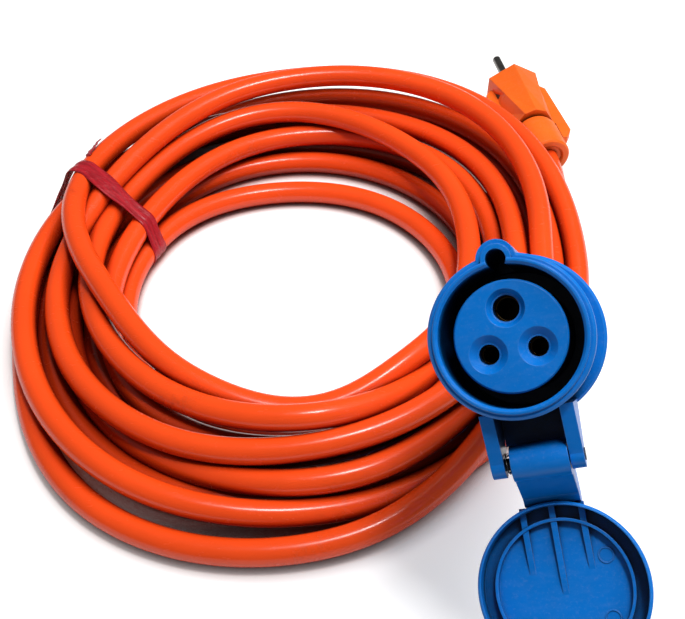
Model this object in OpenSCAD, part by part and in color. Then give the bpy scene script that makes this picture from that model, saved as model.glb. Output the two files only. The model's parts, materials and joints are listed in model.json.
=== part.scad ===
// Shore power cord for a caravan: a coil of three-core cable with a pin-and-sleeve connector
// under a sprung lid at one end and a moulded earthed plug at the other.
// Millimetres, +Z up. The cord lies on the floor at z = 0, and the origin is under the middle
// of its box. The connector stands up on its stiff lead and faces -Y.

/* [Cable] */
// Diameter of the cable's sheath
cable_d = 11.5; // [11:0.1:11.6]
// Loops in each of the coil's two layers
loops = 5; // [4:1:5]
// Radius of the outermost loop, to the middle of the cable
coil_r = 145; // [140:1:150]
// Step between neighbouring loops
loop_step = 13; // [12.6:0.1:13.4]
// Height from the lower layer to the upper one
layer_h = 12; // [11.8:0.1:13]
// Diameter of one insulated core
core_d = 3.5; // [3:0.1:3.8]

/* [Connector] */
// Inside diameter of the mouth that takes the inlet's shroud
mouth_d = 44.8; // [44.4:0.1:45]
// Outside diameter of the rim
rim_d = 51.8; // [51.4:0.1:52.2]
// Diameter of the contact carrier's face
face_d = 35.6; // [35.2:0.1:35.8]
// Radius of the circle that the contacts stand on
contact_r = 8.9; // [8.8:0.1:9.1]
// Bore of the line and neutral sleeves
sleeve_bore = 5.1; // [5.1:0.1:5.2]
// Bore of the earth sleeve
earth_bore = 7.1; // [7.1:0.1:7.2]
// Angle of the connector above the floor
connector_tilt = 48; // [46:1:50]
// Angle that the connector's face is turned from -Y towards -X
connector_turn = 24.4; // [23:0.1:27]
// Roll of the connector about its own axis
connector_roll = 28.6; // [20:0.1:35]

/* [Lid] */
// Outside diameter of the lid
lid_d = 54.8; // [54.6:0.1:56]
// Distance of the hinge pin from the connector's axis
hinge_y = 39.8; // [39:0.1:41]
// Depth of the hinge pin behind the rim
hinge_z = 16; // [15.5:0.1:16.5]
// Angle that the lid stands open
lid_open = 169; // [0:1:169]
// Diameter of the hinge pin
hinge_pin_d = 4; // [3.6:0.1:4.2]

/* [Plug] */
// Diameter of a pin
pin_d = 4.8; // [4.7:0.1:4.8]
// Distance between the pins
pin_pitch = 19; // [19:0.1:19.2]
// Free length of a pin
pin_len = 19; // [18:0.5:19]
// Height of the body's ridge above the pins' middle, at its face
ridge_h = 16.5; // [16.2:0.1:17]
// Length of the body behind its face
plug_len = 42; // [40:1:44]

/* [Hidden] */
$fn = 64;
eps = 0.01;
run_gap = 0.05;

// The coil's middle, seen from the origin
coil_centre = [-3.3, 12.2];
// Middle of the connector's rim and of the plug's face, seen from the coil's middle
connector_spot = [70, -131.4, 136.3];
plug_spot = [119.4, 168.3, 14];
// Heading of the plug's pins, from +X
plug_heading = 101;

// The cable's own values
cable_r = cable_d / 2;
flat_cut = cable_d / 10;
coil_z = cable_r - flat_cut;
coil_in_r = coil_r - loops * loop_step;
oval = [0.965, 1.035];
coil_start = 60;
coil_end = 4;
coil_turns = 2 * loops - (coil_start - coil_end) / 360;
loop_rings = 24;
coil_sides = 6;
lead_sides = 10;
lead_rings = 8;

// Depths along the connector's axis, from the rim back
face_z = -3;
mouth_floor = -36;
floor_back = -40;
ring_z = -31;
ring_d = 56.7;
ring_t = 4;
spigot_end = -46;
spigot_d = 46;
shell_end = -90;
neck_end = shell_end - 11;
nut_end = -117;
sheath_end = -83;
carrier_back = -48;
sleeve_back = -42;
block_end = -58;
terminal_z = -53;
terminal_d = 2.5;
screw_z = (ring_z + spigot_end) / 2 - 2;
screw_head_x = 24.45;
screw_head_d = 5.4;
screw_d = 2.8;
rim_drop = 1.2;
lug_r = 6.3;
lug_y = 24.2;
keyway_r = 3.2;
ear_root_y = -23;
ear_in = 10.3;
ear_t = 4.4;
ear_r = 4.2;
spring_gap = 2.1;
seal_d = 19.8;
neck_d = 27;

// The plug's own values, with depths from its face back and heights from the pins' middle
relief_end = -68;
bridge_r = 12.9;
bridge_len = 14;
pin_angle = 62;
clip_angle = pin_angle + 90;
clip_w = 6;
clip_in_r = 11.6;
clip_foot = -13;
plug_sheath_end = -50;
shank_d = 5.6;
shank_end = -bridge_len - 2;
chamber_end = -bridge_len - 8;
earth_socket_r = 8;
earth_socket_d = 6.5;
earth_socket_end = -12.9;

ORANGE = [0.93, 0.24, 0.06];
PLUG_ORANGE = [0.98, 0.42, 0.10];
BLUE = [0.0, 0.32, 0.66];
BRASS = [0.80, 0.63, 0.30];
STEEL = [0.72, 0.73, 0.74];
DARK = [0.12, 0.12, 0.13];
TIE_RED = [0.52, 0.05, 0.09];
CORE_COLOURS = [[0.35, 0.62, 0.12], [0.36, 0.19, 0.10], [0.10, 0.30, 0.70]];

// Contacts and cores by number: earth, line and neutral. The connector's earth is under the lug.
CONTACT_ANGLES = [90, 210, 330];
PLUG_ANGLES = [clip_angle, pin_angle, pin_angle + 180];
CONTACT_BORES = [earth_bore, sleeve_bore, sleeve_bore];
CONTACT_OUTER = [8.3, 6.3, 6.3];
BLOCK_OUTER = [10.6, 8.4, 8.4];

function unit(v) = v / norm(v);
function smooth(s) = let (k = min(1, max(0, s))) k * k * (3 - 2 * k);
function turn_z(v, a) = [v.x * cos(a) - v.y * sin(a), v.x * sin(a) + v.y * cos(a), v.z];

// A point of the coil at t loops from its upper end: in along the upper layer, down a layer in
// the half turn where the spiral reverses, and out along the lower one
function coil_point(t) =
    let (
        r = coil_in_r + loop_step * abs(t - loops),
        a = coil_start + 360 * t
    )
    [
        r * oval.x * cos(a),
        r * oval.y * sin(a),
        coil_z + layer_h * smooth((loops + 0.25 - t) / 0.5)
    ];
function coil_dir(t) = unit(coil_point(t + 0.002) - coil_point(t - 0.002));

coil_head = coil_point(0) - cable_d * coil_dir(0);
coil_tail = coil_point(coil_turns) + cable_d * coil_dir(coil_turns);
coil_steps = round(coil_turns * loop_rings);
coil_ts = [for (i = [0 : coil_steps]) i * coil_turns / coil_steps];
coil_path = concat([coil_head], [for (t = coil_ts) coil_point(t)], [coil_tail]);
coil_dirs = concat([coil_dir(0)], [for (t = coil_ts) coil_dir(t)], [coil_dir(coil_turns)]);

// Least gap between points of the coil that are more than half a loop apart along it
coil_gap = min([
    for (i = [0 : len(coil_path) - 1])
        for (j = [i + loop_rings / 2 : 1 : len(coil_path) - 1])
            norm(coil_path[i] - coil_path[j])
]) - cable_d;
echo(str("least gap of the coil to itself: ", coil_gap, " mm"));

// The connector's axis points out of its mouth
connector_out = turn_z([0, -cos(connector_tilt), sin(connector_tilt)], -connector_turn);
function on_axis(z) = connector_spot + z * connector_out;
plug_out = [cos(plug_heading), sin(plug_heading), 0];
function on_plug_axis(z) = plug_spot + z * plug_out;

// A stop is a place on a lead's route, the way the cable runs there, and how far it holds that way
// before and after. A stretch is the smooth bend from one stop to the next.
function stop(place, way, before, after) = [place, way, before, after];
function bend_point(from, to, s) =
    let (
        a = from[0] + from[1] * from[3],
        b = to[0] - to[1] * to[2]
    )
    from[0] * pow(1 - s, 3) + 3 * a * s * pow(1 - s, 2) + 3 * b * s * s * (1 - s) + to[0] * pow(s, 3);
function bend_dir(from, to, s) =
    let (low = max(0, s - 0.001), high = min(1, s + 0.001))
    unit(bend_point(from, to, high) - bend_point(from, to, low));

// The connector's lead comes down behind the gland, over the next loop, and joins the upper layer
connector_stops = [
    stop(on_axis(nut_end), -connector_out, 0, 27),
    stop([126.5, -15, 29.4], unit([0.31, 0.95, 0]), 17, 57),
    stop(coil_head, coil_dir(0), 59, 0)
];
// The plug's lead leaves the lower layer along the floor and rises to the plug's axis
plug_stops = [
    stop(coil_tail, coil_dir(coil_turns), 0, 30),
    stop(on_plug_axis(relief_end), plug_out, 28, 0)
];
function stretch_points(stops, i) =
    [for (k = [i == 0 ? 0 : 1 : lead_rings]) bend_point(stops[i], stops[i + 1], k / lead_rings)];
function stretch_dirs(stops, i) =
    [for (k = [i == 0 ? 0 : 1 : lead_rings]) bend_dir(stops[i], stops[i + 1], k / lead_rings)];
function lead_points(stops) = [for (i = [0 : len(stops) - 2]) each stretch_points(stops, i)];
function lead_dirs(stops) = [for (i = [0 : len(stops) - 2]) each stretch_dirs(stops, i)];

// A closed skin over rings of corners. The rings have as many corners each, which go round
// anticlockwise to an eye that looks from the first ring to the last, and a fan covers each end.
module skin(rings) {
    sides = len(rings[0]);
    last = len(rings) - 1;
    walls = [
        for (i = [0 : last - 1])
            for (k = [0 : sides - 1])
                let (
                    a = i * sides + k,
                    b = i * sides + (k + 1) % sides
                )
                each [[a, b, b + sides], [a, b + sides, a + sides]]
    ];
    ends = [
        for (k = [1 : sides - 2])
            each [[0, k + 1, k], last * sides * [1, 1, 1] + [0, k, k + 1]]
    ];
    polyhedron(points = [for (ring = rings) each ring], faces = concat(walls, ends));
}

// A tube along a route: each ring is square to the route, and is set out from an axis that the route
// never runs along
module tube(path, dirs, r, sides, axis = [0, 0, 1]) {
    skin([
        for (i = [0 : len(path) - 1])
            let (
                side = unit(cross(dirs[i], axis)),
                up = cross(side, dirs[i])
            )
            [
                for (k = [0 : sides - 1])
                    path[i] + r * (side * cos(360 * k / sides) + up * sin(360 * k / sides))
            ]
    ]);
}

module above_floor() {
    size = 800;
    difference() {
        children();
        translate([-size / 2, -size / 2, -size]) cube(size);
    }
}

module on_coil() {
    translate([coil_centre.x, coil_centre.y, 0]) children();
}

module on_connector() {
    on_coil() translate(connector_spot) rotate([90 - connector_tilt, 0, -connector_turn])
        rotate([0, 0, connector_roll]) children();
}

module on_plug() {
    on_coil() translate(plug_spot) rotate([90, 0, plug_heading + 90]) children();
}

// Turns the lid, drawn shut, about the hinge pin
module swung(angle) {
    translate([0, -hinge_y, -hinge_z]) rotate([angle, 0, 0])
        translate([0, hinge_y, hinge_z]) children();
}

module span(low, high, d) {
    translate([0, 0, low]) cylinder(h = high - low, d = d);
}

module along_x(low, high, d) {
    translate([low, 0, 0]) rotate([0, 90, 0]) cylinder(h = high - low, d = d);
}

module at_shell_screws() {
    for (a = [0, 180]) rotate([0, 0, a]) translate([0, 0, screw_z]) children();
}

module at_contact(i) {
    rotate([0, 0, CONTACT_ANGLES[i]]) translate([contact_r, 0, 0]) children();
}

// Cable

module cord_coil() {
    tie_slot = 0.9;
    color(ORANGE) on_coil() difference() {
        above_floor() tube(coil_path, coil_dirs, cable_r, coil_sides);
        at_tie() translate([0, -tie_w / 2 - tie_room, -1])
            cube([tie_outer + 5, tie_w + 2 * tie_room, 1 + tie_slot]);
    }
}

module connector_lead() {
    path = concat([on_axis(sheath_end)], lead_points(connector_stops));
    dirs = concat([-connector_out], lead_dirs(connector_stops));
    color(ORANGE) on_coil() tube(path, dirs, cable_r, lead_sides);
}

module plug_lead() {
    path = concat(lead_points(plug_stops), [on_plug_axis(plug_sheath_end)]);
    dirs = concat(lead_dirs(plug_stops), [plug_out]);
    color(ORANGE) on_coil() above_floor() tube(path, dirs, cable_r, lead_sides);
}

// Band that holds the loops together
tie_angle = 150;
tie_w = 6;
tie_t = 0.6;
tie_room = 1;
tie_turn = (tie_angle - coil_start) / 360;
tie_way = [oval.x * cos(tie_angle), oval.y * sin(tie_angle)];
tie_inner = norm(tie_way) * (coil_in_r + loop_step * tie_turn) - cable_r - tie_room;
tie_outer = norm(tie_way) * (coil_r - loop_step * tie_turn) + cable_r + tie_room;
tie_top = coil_z + layer_h + cable_r + 0.5;

module at_tie() {
    rotate([0, 0, atan2(tie_way.y, tie_way.x)]) children();
}

module coil_tie() {
    floor_gap = 0.1;
    color(TIE_RED) on_coil() at_tie() difference() {
        translate([tie_inner - tie_t, -tie_w / 2, floor_gap])
            cube([tie_outer - tie_inner + 2 * tie_t, tie_w, tie_top + tie_t - floor_gap]);
        translate([tie_inner, -tie_w, floor_gap + tie_t])
            cube([tie_outer - tie_inner, 2 * tie_w, tie_top - floor_gap - tie_t]);
    }
}

// Connector

// The keyway's lug, at the top of the mouth
module lug(r, y, low, high) {
    translate([0, y, low]) cylinder(h = high - low, r = r);
}

// Ear that holds one end of the hinge pin, on a foot that runs down the shell's wall
module hinge_ear() {
    root_top = -6;
    tip = [-hinge_y, -hinge_z];
    rotate([90, 0, 90]) linear_extrude(ear_t) difference() {
        union() {
            translate(tip) circle(r = ear_r);
            polygon([
                tip + ear_r * [cos(200), sin(200)], [ear_root_y, ring_z], [ear_root_y, root_top],
                tip + ear_r * [cos(80), sin(80)]
            ]);
        }
        translate(tip) circle(d = hinge_pin_d);
    }
}

// Web that joins the two ears behind the lid's barrel
module ear_web() {
    web_h = 6;
    lip_y = -hinge_y + 5;
    rotate([90, 0, 90]) translate([0, 0, -ear_in]) linear_extrude(2 * ear_in)
        translate([lip_y, ring_z]) square([ear_root_y - lip_y, web_h]);
}

module front_shell() {
    wall_d = 49.6;
    rim_h = 5;
    rim_lip_d = 48.4;
    lip_edge = 0.3;
    keyway_wall = 1.6;
    edge = 0.8;
    seat_d = 42;
    screw_hole = 2.9;
    color(BLUE) on_connector() difference() {
        union() {
            rotate_extrude() polygon([
                [0, 0], [rim_lip_d / 2 - lip_edge, 0], [rim_lip_d / 2, -lip_edge],
                [rim_lip_d / 2, -rim_drop], [rim_d / 2 - edge, -rim_drop], [rim_d / 2, -rim_drop - edge],
                [rim_d / 2, -rim_h], [wall_d / 2, -rim_h - 1], [wall_d / 2, ring_z],
                [ring_d / 2 - edge, ring_z], [ring_d / 2, ring_z - edge], [ring_d / 2, ring_z - ring_t],
                [spigot_d / 2, ring_z - ring_t], [spigot_d / 2, spigot_end], [0, spigot_end]
            ]);
            lug(lug_r, lug_y, ring_z, -rim_drop);
            lug(keyway_r + keyway_wall, lug_y, ring_z, -lip_edge);
            for (x = [-ear_in - ear_t, ear_in]) translate([x, 0, 0]) hinge_ear();
            ear_web();
        }
        span(mouth_floor, 1, mouth_d);
        rotate_extrude() polygon([
            [0, eps], [mouth_d / 2 + edge, eps], [mouth_d / 2 - eps, -edge], [0, -edge]
        ]);
        lug(keyway_r, lug_y, ring_z - ring_t / 2, 1);
        span(floor_back - eps, mouth_floor + eps, face_d + 0.2);
        span(spigot_end - 1, floor_back, seat_d);
        at_shell_screws() along_x(seat_d / 2 - 1, ring_d, screw_hole);
    }
}

module contact_carrier() {
    dish_d = 12.2;
    dish_h = 2.2;
    dish_step = 1;
    flange_d = 41.6;
    flange_t = 4;
    tail_r = 15;
    edge = 0.5;
    color(BLUE) on_connector() difference() {
        rotate_extrude() polygon([
            [0, face_z], [face_d / 2 - edge, face_z], [face_d / 2, face_z - edge],
            [face_d / 2, floor_back - run_gap], [flange_d / 2, floor_back - run_gap],
            [flange_d / 2, floor_back - flange_t], [tail_r, floor_back - flange_t],
            [tail_r, carrier_back], [0, carrier_back]
        ]);
        for (i = [0 : 2]) at_contact(i) {
            translate([0, 0, face_z - dish_h])
                cylinder(h = dish_h + eps, d1 = CONTACT_OUTER[i] + dish_step, d2 = dish_d);
            span(carrier_back - 1, face_z, CONTACT_OUTER[i] + 2 * run_gap);
        }
    }
}

// Sleeve that grips one of the inlet's pins, with a screw terminal on a wider block behind it
module contact(i) {
    front = face_z - 8 - run_gap;
    wire_d = 2.4;
    slit = 0.6;
    slit_back = sleeve_back + 6;
    color(BRASS) on_connector() at_contact(i) difference() {
        union() {
            span(carrier_back - 1, front, CONTACT_OUTER[i]);
            span(block_end, carrier_back - run_gap, BLOCK_OUTER[i]);
        }
        span(sleeve_back, front + 1, CONTACT_BORES[i]);
        translate([-slit / 2, -CONTACT_OUTER[i], slit_back])
            cube([slit, 2 * CONTACT_OUTER[i], front + 1 - slit_back]);
        span(block_end - 1, carrier_back, wire_d);
        translate([0, 0, terminal_z]) along_x(0, BLOCK_OUTER[i], terminal_d + 0.1);
    }
}

// Driver's slot in a screw's head that ends at x
module screw_slot(x) {
    deep = 0.7;
    wide = 0.8;
    long = 6;
    translate([x - deep, -wide / 2, -long / 2]) cube([deep + 1, wide, long]);
}

module terminal_screws() {
    tip_x = 1.3;
    head_d = 4.4;
    head_t = 1.8;
    color(STEEL) on_connector() for (i = [0 : 2]) at_contact(i) translate([0, 0, terminal_z]) {
        head_x = BLOCK_OUTER[i] / 2 + 0.1;
        difference() {
            union() {
                along_x(tip_x, head_x + eps, terminal_d);
                along_x(head_x, head_x + head_t, head_d);
            }
            screw_slot(head_x + head_t);
        }
    }
}

// Insulated core of the cable, from the sheath's end to its terminal
module connector_core(i) {
    bare_d = 2;
    core_r = 2.5;
    far = [contact_r, block_end - 1];
    near = [core_r, sheath_end + 0.6];
    run = far - near;
    color(CORE_COLOURS[i]) on_connector() rotate([0, 0, CONTACT_ANGLES[i]]) {
        translate([near.x, 0, near.y]) rotate([0, atan2(run.x, run.y), 0])
            cylinder(h = norm(run), d = core_d);
        translate([contact_r, 0, 0]) span(block_end - 2, carrier_back - 1, bare_d);
    }
}

module rear_shell() {
    front = ring_z - ring_t - run_gap;
    grip_len = 12;
    grip_end = front - grip_len - 4;
    wide_r = 26;
    step_r = wide_r - 2.5;
    waist_r = 18.5;
    waist_z = shell_end + 12;
    wall = 2.6;
    cavity_r = 20.5;
    sheath_r = 7;
    grip_ribs = 12;
    rib_w = 2.4;
    rib_h = 1.5;
    rib_root = 1.1;
    rib_len = 14;
    seal_seat = shell_end - 2;
    color(BLUE) on_connector() difference() {
        union() {
            rotate_extrude() polygon([
                [0, front], [wide_r, front], [wide_r, front - grip_len], [step_r, grip_end],
                [waist_r, waist_z], [waist_r, shell_end], [neck_d / 2, shell_end],
                [neck_d / 2, neck_end], [0, neck_end]
            ]);
            for (k = [0 : grip_ribs - 1]) rotate([0, 0, 360 * k / grip_ribs])
                translate([waist_r - rib_root, -rib_w / 2, shell_end + 2])
                    cube([rib_h + rib_root, rib_w, rib_len]);
        }
        span(spigot_end - 0.3, front + 1, spigot_d + 2 * run_gap);
        rotate_extrude() polygon([
            [0, spigot_end], [cavity_r, spigot_end], [cavity_r, terminal_z - 1],
            [waist_r - wall, waist_z], [waist_r - wall, shell_end + 5], [sheath_r, shell_end + 5],
            [sheath_r, seal_seat], [0, seal_seat]
        ]);
        span(neck_end - 1, seal_seat + eps, seal_d + 0.2);
        at_shell_screws() {
            along_x(cavity_r, ring_d, screw_d + 0.3);
            along_x(screw_head_x - run_gap, ring_d, screw_head_d + 0.2);
        }
    }
}

module shell_screws() {
    tip_x = 21.4;
    head_end = 26;
    color(STEEL) on_connector() at_shell_screws() difference() {
        union() {
            along_x(tip_x, screw_head_x + eps, screw_d);
            along_x(screw_head_x, head_end, screw_head_d);
        }
        screw_slot(head_end);
    }
}

module gland_nut() {
    front = shell_end - run_gap;
    nut_r = 16.5;
    nut_edge = 0.5;
    tail_r = 9;
    ribs = 16;
    rib_r = 1.3;
    rib_len = 10;
    shoulder = neck_end - 0.3;
    seal_back = neck_end - 4;
    color(BLUE) on_connector() difference() {
        union() {
            rotate_extrude() polygon([
                [0, front], [nut_r - nut_edge, front], [nut_r, front - 2 * nut_edge], [nut_r, shoulder],
                [nut_r - 2.5, shoulder - 2.5], [tail_r + 1, nut_end + 1], [tail_r, nut_end], [0, nut_end]
            ]);
            for (k = [0 : ribs - 1]) rotate([0, 0, 360 * k / ribs])
                translate([nut_r - nut_edge, 0, shoulder]) cylinder(h = rib_len, r = rib_r, $fn = 24);
        }
        span(shoulder, front + 1, neck_d + 0.2);
        span(seal_back, shoulder + eps, seal_d + 0.2);
        span(nut_end - 1, seal_back + eps, cable_d + 0.5);
    }
}

module gland_seal() {
    color(DARK) on_connector() difference() {
        span(neck_end - 3.9, shell_end - 2.1, seal_d);
        span(neck_end - 5, shell_end - 1, cable_d);
    }
}

module hinge_pin() {
    color(STEEL) on_connector() translate([0, -hinge_y, -hinge_z])
        along_x(-ear_in - ear_t - 0.4, ear_in + ear_t + 0.4, hinge_pin_d);
}

// Lid, drawn shut over the rim and then swung open

module lid() {
    lip_in = rim_d / 2 + 0.4;
    lip_edge = 0.6;
    lip_z = -4;
    floor_z = 3.5;
    top_z = 6;
    top_edge = 1.5;
    crown = 1;
    seal_z = 0.4;
    ring_out = 22.3;
    ring_in = 21.3;
    rib_w = 2;
    rib_step = 9.6;
    left = -ear_in + spring_gap;
    right = ear_in - 0.3;
    barrel_r = 5.8;
    flank = barrel_r - 0.2;
    knuckle = [-36, 2];
    crease = [-29.2, -3.6];
    tongue_root = -25;
    lug_room = 0.6;
    lug_wall = 1.7;
    color(BLUE) on_connector() swung(lid_open) difference() {
        union() {
            rotate_extrude() polygon([
                [0, floor_z], [ring_in, floor_z], [ring_in, seal_z], [ring_out, seal_z],
                [ring_out, floor_z], [lip_in, floor_z], [lip_in, lip_z], [lid_d / 2 - lip_edge, lip_z],
                [lid_d / 2, lip_z + lip_edge], [lid_d / 2, top_z - top_edge], [lid_d / 2 - top_edge, top_z],
                [lid_d / 4, top_z + 0.8 * crown], [0, top_z + crown]
            ]);
            for (k = [-1, 0, 1]) translate([k * rib_step - rib_w / 2, 0, 0])
                lid_rib(rib_w, k == 0 ? 3 : -4, floor_z, lip_in + 0.3);
            for (spot = [[14.6, -8.8], [13.5, 10.7]]) translate(spot) ejector_mark(floor_z);
            translate([left, 0, 0]) rotate([90, 0, 90]) linear_extrude(right - left) union() {
                translate([-hinge_y, -hinge_z]) circle(r = barrel_r);
                polygon([
                    [-hinge_y - flank, -hinge_z + 1], knuckle, [tongue_root - 5, top_z],
                    [tongue_root, top_z], [tongue_root, floor_z + 0.2], [-lip_in - 0.2, floor_z + 0.2],
                    [-lip_in - 0.5, lip_z + 2.5], crease, [-hinge_y + flank, -hinge_z + 1]
                ]);
            }
            lug(lug_r + lug_room + lug_wall, lug_y, lip_z + 0.4, top_z - 0.6);
        }
        translate([0, -hinge_y, -hinge_z]) along_x(-2 * ear_in, 2 * ear_in, hinge_pin_d + 2 * run_gap);
        lug(lug_r + lug_room, lug_y, lip_z - 1, floor_z);
        span(lip_z - 1, seal_z - 0.1, 2 * lip_in);
    }
}

// Faint ring that an ejector leaves on the lid's inner floor
module ejector_mark(floor_z) {
    mark_r = 2.6;
    mark_w = 0.4;
    mark_h = 0.3;
    rotate_extrude() translate([mark_r - mark_w, floor_z - mark_h]) square([mark_w, mark_h + 0.2]);
}

// Rib under the lid, deepest at the hinge's side, where it starts in the lip, and run out at y
module lid_rib(w, y, floor_z, start) {
    root = floor_z + 0.2;
    deep = 0.6;
    rotate([90, 0, 90]) linear_extrude(w) polygon([
        [-start, root], [y, root], [y - 6, floor_z - 1], [-20, deep + 0.3], [-start, deep]
    ]);
}

// Wire spring on the hinge pin, between an ear and the lid's barrel
module lid_spring() {
    wire_r = 0.3;
    curl_r = 3;
    curls = 1;
    curl_rings = 8;
    pitch = 1.12;
    leg = 7;
    steps = [for (i = [0 : curls * curl_rings]) i / curl_rings];
    first_x = -ear_in + wire_r + 0.15;
    function curl_point(t) = [first_x + pitch * t, curl_r * cos(360 * t), curl_r * sin(360 * t)];
    function curl_dir(t) = unit(curl_point(t + 0.01) - curl_point(t - 0.01));
    leg_way = [0, 0, 1];
    path = concat([curl_point(0) - leg * leg_way], [for (t = steps) curl_point(t)],
        [curl_point(curls) + leg * leg_way]);
    dirs = concat([leg_way], [for (t = steps) curl_dir(t)], [leg_way]);
    echo(str("least gap of the lid spring to itself: ", pitch - 2 * wire_r, " mm"));
    color(STEEL) on_connector() translate([0, -hinge_y, -hinge_z])
        tube(path, dirs, wire_r, coil_sides, [1, 0, 0]);
}

// Plug

module at_pin(side) {
    rotate([0, 0, pin_angle]) translate([side * pin_pitch / 2, 0, 0]) children();
}

module at_clips() {
    for (a = [clip_angle, clip_angle + 180]) rotate([0, 0, a]) children();
}

// Outlines of the moulded body: a ridge on top, sloping cheeks, and a flat underside. Each is given by
// its corners on one side, from the ridge down, and its depth.
function body_ring(half, z) = concat(
    [for (p = half) [-p.x, p.y, z]],
    [for (i = [len(half) - 1 : -1 : 0]) if (half[i].x > 0) [half[i].x, half[i].y, z]]
);

module plug_body() {
    floor_y = -plug_spot.z;
    waist_z = -19;
    shank_room_r = 12.5;
    shank_room_end = shank_end - 0.6;
    chamber_r = 11;
    hollow_r = 7;
    color(PLUG_ORANGE) on_plug() difference() {
        union() {
            skin([
                body_ring([[0, ridge_h], [14.3, 8.25], [14.3, -7.5], [9, floor_y]], 0),
                body_ring([[0, ridge_h - 0.9], [10.6, 10.1], [15.2, -4], [10, floor_y]], waist_z),
                body_ring([[0, ridge_h - 2], [6.2, 12.3], [12.5, 2.5], [11.5, floor_y]], -plug_len)
            ]);
            for (side = [0, 1]) mirror([side, 0, 0]) plug_wing();
        }
        span(-bridge_len, 1, 2 * bridge_r);
        span(shank_room_end, -bridge_len + eps, 2 * shank_room_r);
        span(chamber_end, shank_room_end + eps, 2 * chamber_r);
        span(-plug_len - 1, chamber_end + eps, 2 * hollow_r);
    }
}

// Finger wing along the body's side, past its rear end
module plug_wing() {
    wing_t = 6;
    tip_z = -plug_len - 13;
    translate([0, wing_t / 2, 0]) rotate([90, 0, 0]) linear_extrude(wing_t)
        polygon([
            [11, -4], [14.6, -5], [18, -9], [19.6, tip_z + 6], [15.6, tip_z], [13.1, tip_z],
            [13.1, -plug_len], [11, -plug_len]
        ]);
}

module plug_bridge() {
    color(DARK) on_plug() difference() {
        span(-bridge_len, 0, 2 * (bridge_r - run_gap));
        for (side = [-1, 1]) at_pin(side) span(-bridge_len - 1, 1, shank_d);
        at_clips() translate([clip_in_r, -clip_w / 2 - run_gap, clip_foot - run_gap])
            cube([bridge_r, clip_w + 2 * run_gap, bridge_len]);
        rotate([0, 0, clip_angle]) translate([earth_socket_r, 0, 0])
            span(earth_socket_end - run_gap, 1, earth_socket_d + 2 * run_gap);
    }
}

module plug_pin(side) {
    tip = 1.6;
    color(STEEL) on_plug() at_pin(side) {
        span(shank_end, 0, shank_d);
        span(-eps, pin_len - tip, pin_d);
        translate([0, 0, pin_len - tip]) cylinder(h = tip, d1 = pin_d, d2 = pin_d - 2.2);
    }
}

// Earth springs in notches at the bridge's two sides, with noses that stand out of the face
module plug_earth_clips() {
    low_r = clip_in_r + run_gap;
    high_r = low_r + 0.7;
    nose = 3.5;
    color(DARK) on_plug() at_clips() translate([0, clip_w / 2, 0]) rotate([90, 0, 0]) linear_extrude(clip_w)
        polygon([
            [low_r, clip_foot], [high_r, clip_foot], [high_r, 0.5], [high_r - 0.4, nose - 1.3],
            [low_r - 0.6, nose], [low_r - 1.3, nose - 0.4], [low_r - 0.3, nose - 1.8], [low_r, 0]
        ]);
}

module plug_earth_socket() {
    bore_d = 5;
    bore_end = -11;
    color(BRASS) on_plug() rotate([0, 0, clip_angle]) translate([earth_socket_r, 0, 0]) difference() {
        span(earth_socket_end, -0.6, earth_socket_d);
        span(bore_end, 1, bore_d);
    }
}

// Collar behind the body, rounded at its front, with a dished end that the cable comes out of
module plug_strain_relief() {
    front = -plug_len - run_gap;
    collar_r = 12.6;
    edge = 1;
    dish_r = 9;
    dish = 1.2;
    sheath_room = 0.1;
    color(PLUG_ORANGE) on_plug() difference() {
        rotate_extrude() polygon([
            [0, front], [collar_r - 3.1, front], [collar_r - 1.2, front - 2], [collar_r - 0.3, front - 4.4],
            [collar_r, front - 7], [collar_r, relief_end + edge], [collar_r - edge, relief_end],
            [dish_r, relief_end], [dish_r - dish, relief_end + dish], [0, relief_end + dish]
        ]);
        span(relief_end - 1, plug_sheath_end, cable_d);
        span(plug_sheath_end - eps, front + 1, cable_d - sheath_room);
    }
}

// Insulated core in the plug: straight through the body's hollow, then out to its pin or clip
module plug_core(i) {
    core_r = 2.6;
    near = [core_r, chamber_end + 1];
    far = [8.6, shank_end - 2.2];
    run = far - near;
    color(CORE_COLOURS[i]) on_plug() rotate([0, 0, PLUG_ANGLES[i]]) {
        translate([core_r, 0, 0]) span(plug_sheath_end + 0.1, near.y, core_d);
        translate([near.x, 0, near.y]) {
            sphere(d = core_d);
            rotate([0, atan2(run.x, run.y), 0]) cylinder(h = norm(run), d = core_d);
        }
    }
}

front_shell();
contact_carrier();
contact(0);  // contact_earth
contact(1);  // contact_line
contact(2);  // contact_neutral
terminal_screws();
rear_shell();
shell_screws();
gland_nut();
gland_seal();
hinge_pin();
lid();
lid_spring();
connector_core(0);  // core_earth
connector_core(1);  // core_line
connector_core(2);  // core_neutral
connector_lead();
cord_coil();
plug_lead();
coil_tie();
plug_body();
plug_bridge();
plug_pin(1);  // plug_pin_line
plug_pin(-1);  // plug_pin_neutral
plug_earth_clips();
plug_earth_socket();
plug_strain_relief();
plug_core(0);  // plug_core_earth
plug_core(1);  // plug_core_line
plug_core(2);  // plug_core_neutral
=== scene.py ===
"""Looks of a coiled shore power cord: its cable, tie, connector and plug, and the stage they lie on."""

import json
import math
from functools import lru_cache

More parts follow.
